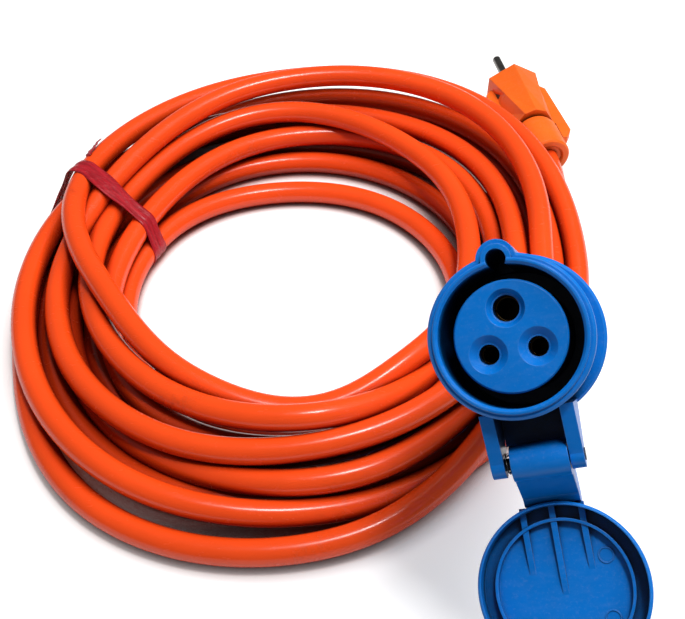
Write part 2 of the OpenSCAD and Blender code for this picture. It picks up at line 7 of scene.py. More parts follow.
import bpy
import numpy as np
from bpy.props import FloatProperty, FloatVectorProperty, IntProperty, PointerProperty
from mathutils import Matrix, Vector


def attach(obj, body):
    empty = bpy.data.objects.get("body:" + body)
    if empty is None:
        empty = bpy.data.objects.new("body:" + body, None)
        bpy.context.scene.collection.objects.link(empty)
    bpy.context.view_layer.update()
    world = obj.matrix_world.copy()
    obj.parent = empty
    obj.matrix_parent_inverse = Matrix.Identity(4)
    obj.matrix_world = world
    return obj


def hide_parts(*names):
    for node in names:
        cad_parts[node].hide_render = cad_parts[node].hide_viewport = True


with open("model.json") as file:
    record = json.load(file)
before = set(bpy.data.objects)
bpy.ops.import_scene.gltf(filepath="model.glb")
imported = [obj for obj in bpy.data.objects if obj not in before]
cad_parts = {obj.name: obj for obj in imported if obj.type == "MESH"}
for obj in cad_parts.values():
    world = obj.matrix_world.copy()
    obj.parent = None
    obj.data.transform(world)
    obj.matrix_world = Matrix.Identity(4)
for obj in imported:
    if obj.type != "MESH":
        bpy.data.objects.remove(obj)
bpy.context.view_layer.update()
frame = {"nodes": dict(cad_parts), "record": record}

bl_info = {
    "name": "Shore Power Cord",
    "version": (1, 0, 0),
    "blender": (4, 5, 0),
    "location": "View3D > Sidebar > Cord",
    "description": "Lays, ties and finishes a coiled shore power cord around its packed frame",
    "category": "Object",
}

MM = 0.001

# Camera: the photograph's frame in pixels, its focal length in those pixels, and where it stood
IMAGE_WIDTH = 685
FOCAL_PIXELS = 1000
CAMERA_SPOT = Vector((15.7, -317.8, 369)) * MM
CAMERA_DOWN = math.radians(48)

# The coil's middle on the floor
COIL_MIDDLE = np.array((-3.3, 12.2, 0.0))

# Angles round the coil's middle at which each turn of the cable is placed, in degrees
STATIONS = (10, 55, 100, 145, 190, 235, 280, 325)
STATION_STEP = 45

# Each turn from the connector to the plug: the radius of the cable's centre line at the stations,
# and its height there, in millimetres
TURNS = (
    ((117, 145, 135, 116, 116, 108, 95, 96), (33, 41, 40, 29, 19, 21, 23, 26)),
    ((104, 133, 137, 137, 132, 129, 117, 116), (24, 19, 17, 16, 17, 17, 9, 6)),
    ((134, 162, 153, 133, 89, 79, 81, 82), (16, 28, 28, 26, 29, 25, 18, 27)),
    ((84, 106, 127, 116, 96, 88, 86, 79), (28, 29, 30, 22, 17, 23, 30, 16)),
    ((82, 83, 84, 91, 94, 88, 83, 82), (6, 6, 6, 8, 6, 6, 6, 6)),
    ((94, 106, 109, 103, 101, 101, 94, 93), (6, 6, 6, 6, 6, 6, 6, 6)),
    ((100, 121, 115, 97, 95, 96, 89, 88), (15, 14, 17, 17, 12, 13, 15, 16)),
    ((106, 122, 124, 119, 114, 109, 107, 100), (6, 6, 6, 6, 7, 9, 17, 16)),
    ((118, 156, 143, 141, 130, 140, 129, 112), (6, 6, 7, 6, 6, 6, 6, 15)),
    ((124, 153, 146, 131, 123, 119, 106, 105), (17, 19, 19, 9, 6, 6, 6, 6)),
)
LAST_STATION = (127, 6)

# Radius of the coil's top layer at the tie
TIE_RADIUS = 135 * MM

# Nodes that share a finish
BLUE_NODES = ("front_shell", "contact_carrier", "rear_shell", "gland_nut", "lid")
BRASS_NODES = ("contact_earth", "contact_line", "contact_neutral", "plug_earth_socket")
STEEL_NODES = ("terminal_screws", "shell_screws", "hinge_pin", "lid_spring")
PIN_NODES = ("plug_pin_line", "plug_pin_neutral")
PLUG_NODES = ("plug_body", "plug_strain_relief")
CORES = {
    "earth": ("core_earth", "plug_core_earth"),
    "line": ("core_line", "plug_core_line"),
    "neutral": ("core_neutral", "plug_core_neutral"),
}


# Places read from the frame


def mount(name):
    return next(m for m in frame["record"]["mounts"] if m["name"] == name)


def middle_of(*names):
    spots = [Vector(mount(name)["pos_m"]) for name in names]
    return sum(spots, Vector()) / len(spots)


def rear_end(node, spot, way):
    """The place on the line through a spot along a way where a node ends, at the rear."""
    return spot + way * min((v.co - spot).dot(way) for v in frame["nodes"][node].data.vertices)


CONNECTOR_WAY = Vector(mount("socket_earth")["axis"])
CONNECTOR_SPOT = middle_of("socket_earth", "socket_line", "socket_neutral")
GLAND_END = rear_end("gland_nut", CONNECTOR_SPOT, CONNECTOR_WAY)
PLUG_WAY = Vector(mount("plug_pin_line")["axis"])
PLUG_SPOT = middle_of("plug_pin_line", "plug_pin_neutral")
COLLAR_END = rear_end("plug_strain_relief", PLUG_SPOT, PLUG_WAY)


# Settings that a user would change


class CableSettings(bpy.types.PropertyGroup):
    """Sheath of the cable."""

    diameter: FloatProperty(
        name="Diameter", description="Outside diameter of the sheath",
        default=11.5 * MM, min=8 * MM, max=14 * MM, unit="LENGTH",
    )
    ring_step: FloatProperty(
        name="Ring Step", description="Distance between the mesh's rings along the cable",
        default=4 * MM, min=1 * MM, max=20 * MM, unit="LENGTH",
    )
    sides: IntProperty(
        name="Sides", description="Corners in one ring of the cable's mesh", default=20, min=8, max=64,
    )
    colour: FloatVectorProperty(
        name="Colour", description="Colour of the sheath",
        default=(0.95, 0.078, 0.009), size=3, min=0, max=1, subtype="COLOR",
    )


class TieSettings(bpy.types.PropertyGroup):
    """Film band round the coil."""

    angle: FloatProperty(
        name="Angle", description="Where the band crosses the top of the coil",
        default=math.radians(149.5), subtype="ANGLE",
    )
    lean: FloatProperty(
        name="Lean", description="How much further round the coil the band is at the floor",
        default=math.radians(6), subtype="ANGLE",
    )
    width: FloatProperty(
        name="Width", description="Width of the band",
        default=11 * MM, min=2 * MM, max=20 * MM, unit="LENGTH",
    )
    thickness: FloatProperty(
        name="Thickness", description="Thickness of the film",
        default=0.25 * MM, min=0.1 * MM, max=2 * MM, unit="LENGTH",
    )
    tail: FloatProperty(
        name="Tail", description="Length of the loose end",
        default=22 * MM, min=5 * MM, max=60 * MM, unit="LENGTH",
    )
    colour: FloatVectorProperty(
        name="Colour", description="Colour of the film",
        default=(0.42, 0.012, 0.022), size=3, min=0, max=1, subtype="COLOR",
    )


class ConnectorSettings(bpy.types.PropertyGroup):
    """Mouldings of the connector and its lid."""

    colour: FloatVectorProperty(
        name="Colour", description="Colour of the mouldings",
        default=(0.0, 0.165, 0.60), size=3, min=0, max=1, subtype="COLOR",
    )
    edge_radius: FloatProperty(
        name="Edge Radius", description="Radius that the mould leaves on an edge",
        default=0.45 * MM, min=0, max=2 * MM, unit="LENGTH",
    )


class PlugSettings(bpy.types.PropertyGroup):
    """Moulding of the plug."""

    colour: FloatVectorProperty(
        name="Colour", description="Colour of the moulding",
        default=(0.95, 0.15, 0.012), size=3, min=0, max=1, subtype="COLOR",
    )
    edge_radius: FloatProperty(
        name="Edge Radius", description="Radius that the mould leaves on an edge",
        default=0.8 * MM, min=0, max=2 * MM, unit="LENGTH",
    )


class StageSettings(bpy.types.PropertyGroup):
    """Floor and light."""

    sky: FloatProperty(
        name="Sky", description="Strength of the even light from all round", default=0.15, min=0, max=2,
    )
    overhead: FloatProperty(
        name="Overhead", description="Power of the large lamp overhead", default=12, min=0, unit="POWER",
    )
    key: FloatProperty(
        name="Key", description="Power of the small lamp that makes the glints",
        default=4.8, min=0, unit="POWER",
    )
    floor_size: FloatProperty(
        name="Floor Size", description="Length of the floor's side", default=12, min=1, unit="LENGTH",
    )


# Node trees


def place(tree, kind, feeds=None, **settings):
    """Adds a node, sets its settings, and feeds its inputs with values or other nodes' sockets."""
    made = tree.nodes.new(kind)
    for name, value in settings.items():
        setattr(made, name, value)
    for name, value in (feeds or {}).items():
        if isinstance(value, bpy.types.NodeSocket):
            tree.links.new(value, made.inputs[name])
        else:
            made.inputs[name].default_value = value
    return made


def math_of(tree, operation, *values, clamp=False):
    feeds = dict(enumerate(values))
    return place(tree, "ShaderNodeMath", feeds, operation=operation, use_clamp=clamp).outputs[0]


def between(tree, value, low, high, to_low=0.0, to_high=1.0):
    """Carries a value from one range to another, and stops at its ends."""
    feeds = {"Value": value, "From Min": low, "From Max": high, "To Min": to_low, "To Max": to_high}
    return place(tree, "ShaderNodeMapRange", feeds, interpolation_type="SMOOTHSTEP").outputs["Result"]


def noise(tree, where, scale, detail=3.0, roughness=0.55):
    feeds = {"Vector": where, "Scale": scale, "Detail": detail, "Roughness": roughness}
    return place(tree, "ShaderNodeTexNoise", feeds).outputs["Fac"]


def stretched(tree, where, scale):
    feeds = {"Vector": where, "Scale": scale}
    return place(tree, "ShaderNodeMapping", feeds).outputs["Vector"]


def mixed(tree, share, first, second):
    """Colour between two colours."""
    made = place(tree, "ShaderNodeMix", data_type="RGBA")
    for label, value in (("Factor", share), (6, first), (7, second)):
        socket = made.inputs[label]
        if isinstance(value, bpy.types.NodeSocket):
            tree.links.new(value, socket)
        else:
            socket.default_value = value
    return made.outputs[2]


def new_group(name, inputs, outputs):
    """An empty shader node group with named sockets, with its input and output nodes."""
    tree = bpy.data.node_groups.new(name, "ShaderNodeTree")
    for label, default in inputs.items():
        socket = tree.interface.new_socket(label, in_out="INPUT", socket_type="NodeSocketFloat")
        socket.default_value = default
    for label, kind in outputs.items():
        tree.interface.new_socket(label, in_out="OUTPUT", socket_type=kind)
    return tree, tree.nodes.new("NodeGroupInput").outputs, tree.nodes.new("NodeGroupOutput").inputs


def object_place(tree):
    return place(tree, "ShaderNodeTexCoord").outputs["Object"]


def soft_edge_group():
    """Rounds the shading at edges, and marks them in patches, for edges worn by handling and for painted
    edge highlights.
    """
    tree, given, out = new_group(
        "Soft Edges", {"Radius": 0.5 * MM, "Wear Scale": 110.0},
        {"Normal": "NodeSocketVector", "Edge": "NodeSocketFloat"},
    )
    rounded = place(tree, "ShaderNodeBevel", {"Radius": given["Radius"]}, samples=6).outputs["Normal"]
    flat = place(tree, "ShaderNodeNewGeometry").outputs["Normal"]
    alike = place(tree, "ShaderNodeVectorMath", {0: rounded, 1: flat}, operation="DOT_PRODUCT")
    bent = between(tree, alike.outputs["Value"], 0.995, 0.86)
    patches = between(tree, noise(tree, object_place(tree), given["Wear Scale"], 2.0), 0.3, 0.7, 0.3, 1.0)
    tree.links.new(rounded, out["Normal"])
    tree.links.new(math_of(tree, "MULTIPLY", bent, patches), out["Edge"])
    return tree


def mould_group():
    """Surface of a moulding: a slow drift of tone, flow marks, and a fine grain."""
    tree, given, out = new_group(
        "Moulded Surface", {"Grain Scale": 2600.0, "Drift Scale": 38.0},
        {"Drift": "NodeSocketFloat", "Height": "NodeSocketFloat", "Smear": "NodeSocketFloat"},
    )
    where = object_place(tree)
    drift = noise(tree, where, given["Drift Scale"], 4.0)
    grain = noise(tree, where, given["Grain Scale"], 2.0)
    swell = noise(tree, where, 90.0, 2.0)
    smear = noise(tree, stretched(tree, where, (1.0, 3.5, 1.4)), 150.0, 5.0, 0.7)
    tree.links.new(between(tree, drift, 0.3, 0.7), out["Drift"])
    tree.links.new(math_of(tree, "ADD", math_of(tree, "MULTIPLY", grain, 0.35), swell), out["Height"])
    tree.links.new(between(tree, smear, 0.42, 0.72), out["Smear"])
    return tree


def scuff_group():
    """Dark rubbed patches and fine scratches."""
    tree, given, out = new_group(
        "Scuffs", {"Patch Scale": 30.0, "Scratch Scale": 700.0},
        {"Patch": "NodeSocketFloat", "Scratch": "NodeSocketFloat"},
    )
    where = object_place(tree)
    broad = noise(tree, where, given["Patch Scale"], 5.0, 0.62)
    fine = noise(tree, where, 260.0, 4.0, 0.7)
    rubbed = math_of(tree, "MULTIPLY", between(tree, broad, 0.58, 0.75), between(tree, fine, 0.42, 0.66))
    lines = noise(tree, stretched(tree, where, (1.0, 0.07, 0.3)), given["Scratch Scale"], 2.0)
    tree.links.new(rubbed, out["Patch"])
    tree.links.new(between(tree, lines, 0.64, 0.72), out["Scratch"])
    return tree


def dust_group():
    """Dust that settles on what faces up."""
    tree, given, out = new_group("Settled Dust", {"Scale": 900.0}, {"Dust": "NodeSocketFloat"})
    normal = place(tree, "ShaderNodeNewGeometry").outputs["Normal"]
    upward = place(tree, "ShaderNodeSeparateXYZ", {0: normal}).outputs["Z"]
    specks = noise(tree, object_place(tree), given["Scale"], 3.0, 0.7)
    cover = math_of(tree, "MULTIPLY", between(tree, upward, 0.2, 1.0), between(tree, specks, 0.5, 0.8))
    tree.links.new(cover, out["Dust"])
    return tree


def hollow_group():
    """Marks the hollows that little light gets into."""
    tree, given, out = new_group(
        "Hollows", {"Reach": 12 * MM, "Open": 0.72, "Shut": 0.12}, {"Hollow": "NodeSocketFloat"},
    )
    around = place(tree, "ShaderNodeAmbientOcclusion", {"Distance": given["Reach"]}, samples=8)
    tree.links.new(between(tree, around.outputs["AO"], given["Open"], given["Shut"]), out["Hollow"])
    return tree


GROUP_MAKERS = {
    "Soft Edges": soft_edge_group,
    "Moulded Surface": mould_group,
    "Scuffs": scuff_group,
    "Settled Dust": dust_group,
    "Hollows": hollow_group,
}


def effect(tree, name, **values):
    """Places a shared effect in a material, and makes its group the first time."""
    shared = bpy.data.node_groups.get(name) or GROUP_MAKERS[name]()
    made = place(tree, "ShaderNodeGroup", node_tree=shared)
    for label, value in values.items():
        made.inputs[label.replace("_", " ")].default_value = value
    return made.outputs


def shade(colour, factor):
    return tuple(min(1.0, channel * factor) for channel in colour) + (1.0,)


def new_material(name):
    """An empty material with one Principled shader."""
    made = bpy.data.materials.new(name)
    made.use_nodes = True
    tree = made.node_tree
    return made, tree, tree.nodes["Principled BSDF"]


def bumped(tree, height, strength, depth, normal=None):
    feeds = {"Height": height, "Strength": strength, "Distance": depth}
    if normal is not None:
        feeds["Normal"] = normal
    return place(tree, "ShaderNodeBump", feeds).outputs["Normal"]


def moulding(name, colour, gloss, edge_radius, grain_depth, wear_and_highlight, hollow_reach):
    """Moulded plastic: soft edges, a drifting tone, edges lightened by handling and by painted highlight,
    and painted shade in its hollows.
    """
    patch_share, bloom_share, dust_share, painted_shade_share = 0.35, 0.05, 0.06, 0.92
    dust_colour = (0.6, 0.57, 0.52, 1.0)
    made, tree, shader = new_material(name)
    surface = effect(tree, "Moulded Surface")
    edges = effect(tree, "Soft Edges", Radius=edge_radius)
    scuffs = effect(tree, "Scuffs")
    dust = effect(tree, "Settled Dust")
    hollows = effect(tree, "Hollows", Reach=hollow_reach, Open=0.62, Shut=0.25)
    tone = mixed(tree, surface["Drift"], shade(colour, 0.93), shade(colour, 1.06))
    tone = mixed(tree, math_of(tree, "MULTIPLY", scuffs["Patch"], patch_share), tone, shade(colour, 0.5))
    pale = tuple(0.8 * channel + 0.2 for channel in colour) + (1.0,)
    tone = mixed(tree, math_of(tree, "MULTIPLY", surface["Smear"], bloom_share), tone, pale)
    # Edges lightened toward pale: worn by handling, and on the connector's blue also a painted edge
    # highlight
    tone = mixed(tree, math_of(tree, "MULTIPLY", edges["Edge"], wear_and_highlight), tone, pale)
    tone = mixed(tree, math_of(tree, "MULTIPLY", dust["Dust"], dust_share), tone, dust_colour)
    # Painted shade: hollows that little light reaches are darkened almost to black
    tone = mixed(tree, math_of(tree, "MULTIPLY", hollows["Hollow"], painted_shade_share), tone, shade(colour, 0.05))
    rough = between(tree, surface["Smear"], 0.0, 1.0, gloss, gloss + 0.1)
    rough = math_of(tree, "ADD", rough, math_of(tree, "MULTIPLY", scuffs["Scratch"], 0.1), clamp=True)
    tree.links.new(tone, shader.inputs["Base Color"])
    tree.links.new(rough, shader.inputs["Roughness"])
    tree.links.new(
        bumped(tree, surface["Height"], 0.2, grain_depth, edges["Normal"]), shader.inputs["Normal"]
    )
    shader.inputs["IOR"].default_value = 1.46
    shader.inputs["Specular IOR Level"].default_value = 0.3
    return made


def metal(name, colour, gloss, tarnish, tarnish_share):
    """Plated or drawn metal, dulled in patches, with fine drawing lines and painted shade in its hollows."""
    made, tree, shader = new_material(name)
    scuffs = effect(tree, "Scuffs", Patch_Scale=160.0, Scratch_Scale=1800.0)
    surface = effect(tree, "Moulded Surface", Grain_Scale=3000.0, Drift_Scale=220.0)
    edges = effect(tree, "Soft Edges", Radius=0.25 * MM, Wear_Scale=900.0)
    dull = math_of(tree, "MULTIPLY", surface["Drift"], tarnish_share)
    tone = mixed(tree, dull, shade(colour, 1.0), shade(tarnish, 1.0))
    tone = mixed(tree, math_of(tree, "MULTIPLY", edges["Edge"], 0.4), tone, shade(colour, 1.25))
    # Painted shade: hollows such as contact holes and the hinge gap are darkened almost to black
    hollows = effect(tree, "Hollows", Reach=14 * MM)
    tone = mixed(tree, hollows["Hollow"], tone, shade(tarnish, 0.12))
    rough = between(tree, scuffs["Scratch"], 0.0, 1.0, gloss, gloss + 0.2)
    tree.links.new(tone, shader.inputs["Base Color"])
    tree.links.new(rough, shader.inputs["Roughness"])
    tree.links.new(
        bumped(tree, scuffs["Scratch"], 0.2, 0.03 * MM, edges["Normal"]), shader.inputs["Normal"]
    )
    shader.inputs["Metallic"].default_value = 1.0
    return made


def sheath_material(colour):
    """Smooth extruded sheath with a slow drift of tone, rubbed patches, and painted deep red shade where
    strands lie close.
    """
    patch_share, painted_shade_share = 0.4, 0.9
    painted_shade_red = (0.16, 0.002, 0.001, 1.0)
    smooth, dull, rubbed = 0.21, 0.28, 0.2
    made, tree, shader = new_material("orange_sheath")
    surface = effect(tree, "Moulded Surface", Grain_Scale=1900.0, Drift_Scale=16.0)
    scuffs = effect(tree, "Scuffs", Patch_Scale=26.0)
    hollows = effect(tree, "Hollows", Reach=18 * MM, Open=0.82, Shut=0.15)
    tone = mixed(tree, surface["Drift"], shade(colour, 0.93), shade(colour, 1.06))
    tone = mixed(tree, math_of(tree, "MULTIPLY", scuffs["Patch"], patch_share), tone, shade(colour, 0.35))
    # Painted shade: where strands lie close together the sheath is darkened to deep red
    tone = mixed(tree, math_of(tree, "MULTIPLY", hollows["Hollow"], painted_shade_share), tone, painted_shade_red)
    rough = between(tree, surface["Smear"], 0.0, 1.0, smooth, dull)
    rough = math_of(tree, "ADD", rough, math_of(tree, "MULTIPLY", scuffs["Patch"], rubbed), clamp=True)
    tree.links.new(tone, shader.inputs["Base Color"])
    tree.links.new(rough, shader.inputs["Roughness"])
    tree.links.new(bumped(tree, surface["Height"], 0.05, 0.05 * MM), shader.inputs["Normal"])
    shader.inputs["IOR"].default_value = 1.46
    return made


def film_material(colour):
    """Thin see-through film with lengthwise creases, paler where it is stretched."""
    stretched_colour = (0.45, 0.04, 0.05, 1.0)
    made, tree, shader = new_material("red_tie")
    uv = place(tree, "ShaderNodeTexCoord").outputs["UV"]
    surface = effect(tree, "Moulded Surface", Drift_Scale=160.0)
    creases = noise(tree, stretched(tree, uv, (9.0, 4.0, 1.0)), 2.0, 4.0, 0.6)
    tone = mixed(tree, between(tree, creases, 0.35, 0.65), shade(colour, 0.7), shade(colour, 1.3))
    tone = mixed(tree, math_of(tree, "MULTIPLY", surface["Smear"], 0.3), tone, stretched_colour)
    tree.links.new(tone, shader.inputs["Base Color"])
    tree.links.new(between(tree, surface["Smear"], 0.0, 1.0, 0.2, 0.36), shader.inputs["Roughness"])
    tree.links.new(between(tree, creases, 0.3, 0.7, 0.97, 0.82), shader.inputs["Alpha"])
    tree.links.new(bumped(tree, creases, 0.55, 0.5 * MM), shader.inputs["Normal"])
    return made


def rubber_material():
    return moulding(
        "black_rubber", (0.025, 0.025, 0.027), gloss=0.55, edge_radius=0.3 * MM, grain_depth=0.05 * MM,
        wear_and_highlight=0.1, hollow_reach=8 * MM,
    )


def core_material(part, colour):
    return moulding(
        f"core_{part}", colour, gloss=0.4, edge_radius=0.2 * MM, grain_depth=0.03 * MM,
        wear_and_highlight=0.1, hollow_reach=5 * MM,
    )


def floor_material():
    """White floor: it takes the object's shadow and looks white where none falls; near and between strands
    painted shade darkens it to red.
    """
    darker, lighter = (0.89, 0.885, 0.88, 1.0), (0.91, 0.905, 0.90, 1.0)
    painted_red_shade = (0.40, 0.08, 0.05, 1.0)
    white, black = (1.0, 1.0, 1.0, 1.0), (0.0, 0.0, 0.0, 1.0)
    glow_strength = 0.34
    made, tree, shader = new_material("white_floor")
    tree.nodes.remove(shader)
    ray = place(tree, "ShaderNodeLightPath").outputs
    seen = math_of(tree, "MAXIMUM", ray["Is Camera Ray"], ray["Is Transmission Ray"])
    paper = noise(tree, object_place(tree), 60.0, 5.0)
    tone = mixed(tree, paper, darker, lighter)
    # Painted shade: near the strands the floor is tinted dark red, and its white glow fades to black
    painted_floor_shade = effect(tree, "Hollows", Reach=26 * MM, Open=0.7, Shut=0.25)["Hollow"]
    tone = mixed(tree, painted_floor_shade, tone, painted_red_shade)
    light = mixed(tree, painted_floor_shade, white, black)
    body = place(tree, "ShaderNodeBsdfDiffuse", {"Color": tone}).outputs[0]
    strength = math_of(tree, "MULTIPLY", seen, glow_strength)
    glow = place(tree, "ShaderNodeEmission", {"Color": light, "Strength": strength}).outputs[0]
    both = place(tree, "ShaderNodeAddShader", {0: body, 1: glow}).outputs[0]
    tree.links.new(both, tree.nodes["Material Output"].inputs["Surface"])
    return made


# Meshes


def add_piece(name, mesh, material, body):
    """Links a mesh as a piece that rides on a body of the frame."""
    made = bpy.data.objects.new(name, mesh)
    bpy.context.scene.collection.objects.link(made)
    mesh.materials.append(material)
    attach(made, body)
    return made


def finish_nodes(names, material):
    """Gives nodes of the frame a material."""
    for name in names:
        mesh = frame["nodes"][name].data
        mesh.materials.clear()
        mesh.materials.append(material)


def unit(v):
    return v / np.linalg.norm(v)


def spline(values, samples):
    """Catmull-Rom curve through values, sampled evenly between them."""
    v = np.asarray(values, float)
    v = np.concatenate([[2 * v[0] - v[1]], v, [2 * v[-1] - v[-2]]])
    t = np.arange(samples) / samples
    out = []
    for a, b, c, d in zip(v, v[1:], v[2:], v[3:]):
        cubic = (2 * a - 5 * b + 4 * c - d) * t**2 + (3 * b - a - 3 * c + d) * t**3
        out.append(0.5 * (2 * b + (c - a) * t + cubic))
    return np.append(np.concatenate(out), v[-2])


def bend(start, start_way, end, end_way, start_reach, end_reach, count):
    """Points of a smooth bend that leaves one place along its way and arrives at another along its own."""
    s = np.linspace(0, 1, count)[:, None]
    a = start + start_way * start_reach
    b = end - end_way * end_reach
    return start * (1 - s) ** 3 + 3 * a * s * (1 - s) ** 2 + 3 * b * s**2 * (1 - s) + end * s**3


def cable_route(radius):
    """The cable's centre line as it is laid by hand, in millimetres about the coil's middle."""
    samples = 9
    lead_points = 12
    gland_reach, coil_reach = 34, 30
    tail_reach, collar_reach = 34, 28
    radii = [r for turn in TURNS for r in turn[0]] + [LAST_STATION[0]]
    heights = [z for turn in TURNS for z in turn[1]] + [LAST_STATION[1]]
    radii, heights = spline(radii, samples), spline(heights, samples)
    angle = np.radians(STATIONS[0] + STATION_STEP / samples * np.arange(len(radii)))
    coil = np.stack([radii * np.cos(angle), radii * np.sin(angle), np.maximum(heights, radius)], 1)
    gland = np.array(GLAND_END) / MM - COIL_MIDDLE
    collar = np.array(COLLAR_END) / MM - COIL_MIDDLE
    lead = bend(
        gland, -np.array(CONNECTOR_WAY), coil[0], unit(coil[1] - coil[0]),
        gland_reach, coil_reach, lead_points,
    )
    tail = bend(
        coil[-1], unit(coil[-1] - coil[-2]), collar, np.array(PLUG_WAY),
        tail_reach, collar_reach, lead_points,
    )
    return np.vstack([lead[:-1], coil, tail[1:]])


def near_pairs(points, diameter):
    """Pairs of places on the cable that lie close together but far apart along it."""
    apart_along = 14
    near = 1.5 * diameter
    index = np.arange(len(points))
    gaps = ((points[:, None] - points[None]) ** 2).sum(2)
    far = np.triu(np.abs(index[:, None] - index[None]) > apart_along)
    return np.nonzero((gaps < near**2) & far)


def settled(route, diameter):
    """Lets the laid cable sink under its weight, and pushes its turns apart and off the floor."""
    rounds, rounds_per_search, pushes_per_round = 500, 10, 2
    weight, weight_fade = 0.05, 1.25
    pull_back = 0.05
    push_share = 0.3
    clearance = 0.1
    evening, last_evening, last_rounds = 0.8, 0.3, 0.85
    fixed, eased = 3, 5
    radius = diameter / 2
    free = np.ones(len(route))
    ramp = np.linspace(0.1, 0.9, eased)
    free[:fixed] = free[-fixed:] = 0
    free[fixed:fixed + eased] = ramp
    free[-fixed - eased:-fixed] = ramp[::-1]
    hold = free[:, None]
    points = route.copy()
    for step in range(rounds):
        late = step / rounds
        strength = max(0, 1 - weight_fade * late)
        if step % rounds_per_search == 0:
            first, second = near_pairs(points, diameter)
        points[:, 2] -= weight * strength * free
        points += hold * pull_back * strength * (route - points)
        for _ in range(pushes_per_round):
            across = points[first] - points[second]
            distance = np.linalg.norm(across, axis=1) + 1e-9
            overlap = np.maximum(diameter + clearance - distance, 0)
            push = across * (push_share * overlap / distance)[:, None]
            for axis in range(3):
                moved = np.bincount(first, push[:, axis], len(points))
                moved -= np.bincount(second, push[:, axis], len(points))
                points[:, axis] += free * moved
            points[:, 2] = np.maximum(points[:, 2], radius)
        shift = points - route
        even = shift.copy()
        even[2:-2] = (shift[:-4] + 2 * shift[1:-3] + 2 * shift[2:-2] + 2 * shift[3:-1] + shift[4:]) / 8
        shift += hold * (even - shift) * (evening if late < last_rounds else last_evening)
        points = route + shift
        points[:, 2] = np.maximum(points[:, 2], radius)
    return points


def evenly(points, step):
    """The same line with points a step apart, on a smooth curve through the old ones, and their lengths."""
    fine_samples, smoothings = 24, 12
    fine = np.stack([spline(points[:, axis], fine_samples) for axis in range(3)], 1)
    along = np.concatenate([[0], np.cumsum(np.linalg.norm(np.diff(fine, axis=0), axis=1))])
    at = np.linspace(0, along[-1], int(along[-1] / step) + 1)
    even = np.stack([np.interp(at, along, fine[:, axis]) for axis in range(3)], 1)
    for _ in range(smoothings):
        even[1:-1] = (even[:-2] + 2 * even[1:-1] + even[2:]) / 4
    return even, at


@lru_cache
def centre_line(diameter, step):
    """The settled cable's centre line at even steps, and the length along it at each point, in metres."""
    route = settled(cable_route(diameter / MM / 2), diameter / MM)
    return evenly((route + COIL_MIDDLE) * MM, step)


def carried_sides(ways):
    """A side direction at each point of a line, carried along it without twisting."""
    askew = (0.3, 0.5, 0.8)
    side = unit(np.cross(ways[0], askew))
    out = []
    for way in ways:
        side = unit(side - way * side.dot(way))
        out.append(side)
    return np.array(out)


def marked_mesh(name, corners, faces, marks):
    """A smooth mesh with a texture coordinate for each corner of each face."""
    mesh = bpy.data.meshes.new(name)
    mesh.from_pydata(corners, [], faces)
    layer = mesh.uv_layers.new(name="Along")
    layer.data.foreach_set("uv", np.array(marks, np.float32).ravel())
    mesh.shade_smooth()
    mesh.update()
    return mesh


def tube_mesh(name, points, along, radius, sides):
    """A closed round tube along a line, with its length and its turn as texture coordinates."""
    ways = np.gradient(points, axis=0)
    ways /= np.linalg.norm(ways, axis=1)[:, None]
    side = carried_sides(ways)
    up = np.cross(ways, side)
    turn = 2 * np.pi * np.arange(sides) / sides
    ring = side[:, None] * np.cos(turn)[None, :, None] + up[:, None] * np.sin(turn)[None, :, None]
    corners = (points[:, None] + radius * ring).reshape(-1, 3)
    faces, marks = [], []
    for i in range(len(points) - 1):
        for k in range(sides):
            a, b = i * sides + k, i * sides + (k + 1) % sides
            faces.append((a, b, b + sides, a + sides))
            low, high = k / sides, (k + 1) / sides
            marks += [(along[i], low), (along[i], high), (along[i + 1], high), (along[i + 1], low)]
    last = (len(points) - 1) * sides
    faces += [tuple(range(sides))[::-1], tuple(range(last, last + sides))]
    marks += [(along[0], 0.0)] * sides + [(along[-1], 0.0)] * sides
    return marked_mesh(name, corners.tolist(), faces, marks)


# Operators, one for each piece or group of like pieces


